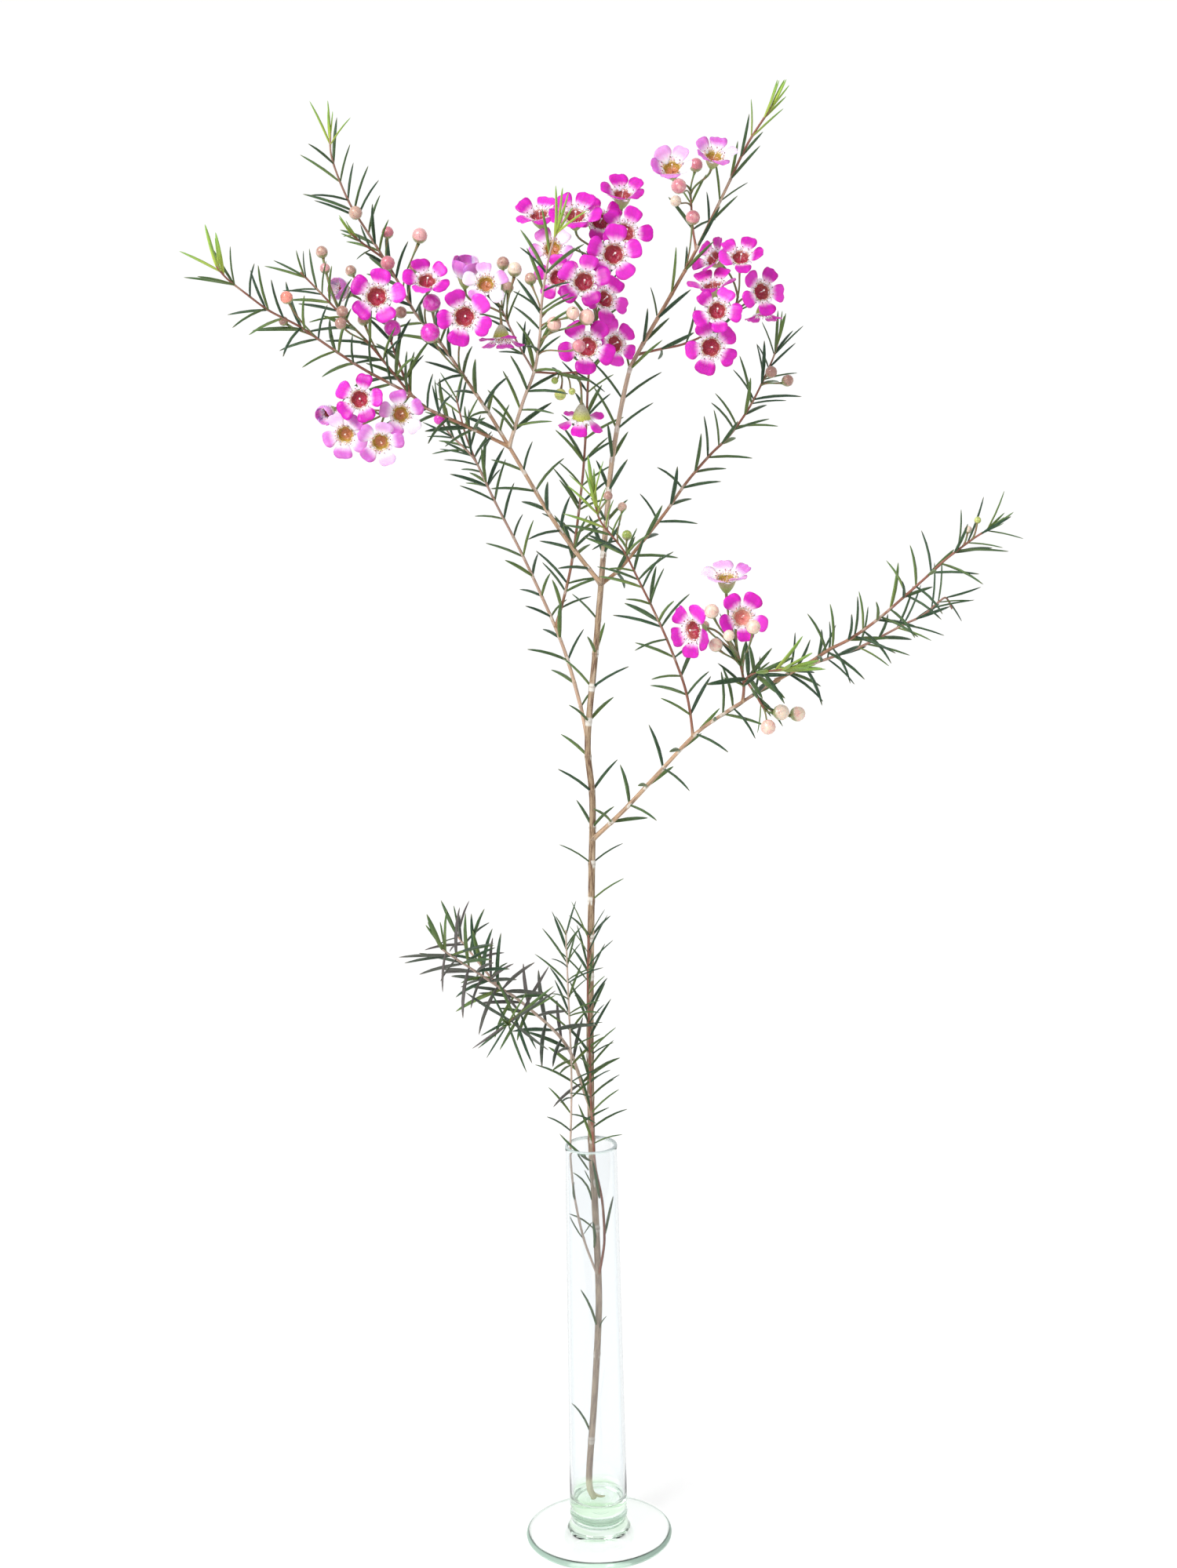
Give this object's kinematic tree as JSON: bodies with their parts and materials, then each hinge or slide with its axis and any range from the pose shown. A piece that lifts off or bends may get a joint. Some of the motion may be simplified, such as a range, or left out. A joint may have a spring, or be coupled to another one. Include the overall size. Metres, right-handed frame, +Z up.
{
  "type": "waxflower stem in vase",
  "caption": "Cut waxflower stem with needle leaves, pink five-petalled flowers and round buds, standing in a slender clear glass bud vase on a round disc foot",
  "frame": {"origin": "middle of the vase's underside, on the surface that it stands on", "axes": "+Z is up along the vase's axis, -Y is the side that the flowers face, and +X is to the right of someone who looks from there"},
  "size_m": [0.2847, 0.159, 0.5695],
  "materials": {
    "clear_glass": "clear, gloss, faintly green",
    "brown_bark": "matt bark",
    "leaf_green": "satin leaf",
    "petal_magenta": "soft waxy petal",
    "petal_pale": "soft waxy petal"
  },
  "bodies": {
    "root": {"bud_vase": "clear_glass", "main_stem": "brown_bark", "left_branch": "leaf_green", "far_left_branch": "leaf_green", "middle_shoot": "leaf_green", "rear_left_branch": "leaf_green", "centre_branch": "leaf_green", "right_branch": "leaf_green", "low_right_branch": "leaf_green", "low_right_upper": "leaf_green", "low_right_stalk": "leaf_green", "inner_right_shoot": "leaf_green", "low_left_branch": "leaf_green", "thin_shoot": "leaf_green", "front_shoot": "leaf_green", "top_right_stalk": "leaf_green", "right_stalk": "leaf_green", "bloom_01": "petal_magenta", "bloom_02": "petal_magenta", "bloom_03": "petal_magenta", "bloom_04": "petal_pale", "bloom_05": "petal_pale", "bloom_06": "petal_pale", "bloom_07": "petal_magenta", "bloom_08": "petal_magenta", "bloom_09": "petal_pale", "bloom_10": "petal_pale", "bloom_11": "petal_pale", "bloom_12": "petal_pale", "bloom_13": "petal_magenta", "bloom_14": "petal_magenta", "bloom_15": "petal_magenta", "bloom_16": "petal_magenta", "bloom_17": "petal_magenta", "bloom_18": "petal_magenta", "bloom_19": "petal_magenta", "bloom_20": "petal_magenta", "bloom_21": "petal_magenta", "bloom_22": "petal_pale", "bloom_23": "petal_magenta", "bloom_24": "petal_magenta", "bloom_25": "petal_magenta", "bloom_26": "petal_pale", "bloom_27": "petal_pale", "bloom_28": "petal_magenta", "bloom_29": "petal_magenta", "bloom_30": "petal_magenta", "bloom_31": "petal_magenta", "bloom_32": "petal_magenta", "bloom_33": "petal_magenta", "bloom_34": "petal_magenta", "bloom_35": "petal_pale", "bloom_36": "petal_magenta", "bloom_37": "petal_magenta"}
  },
  "joints": []
}
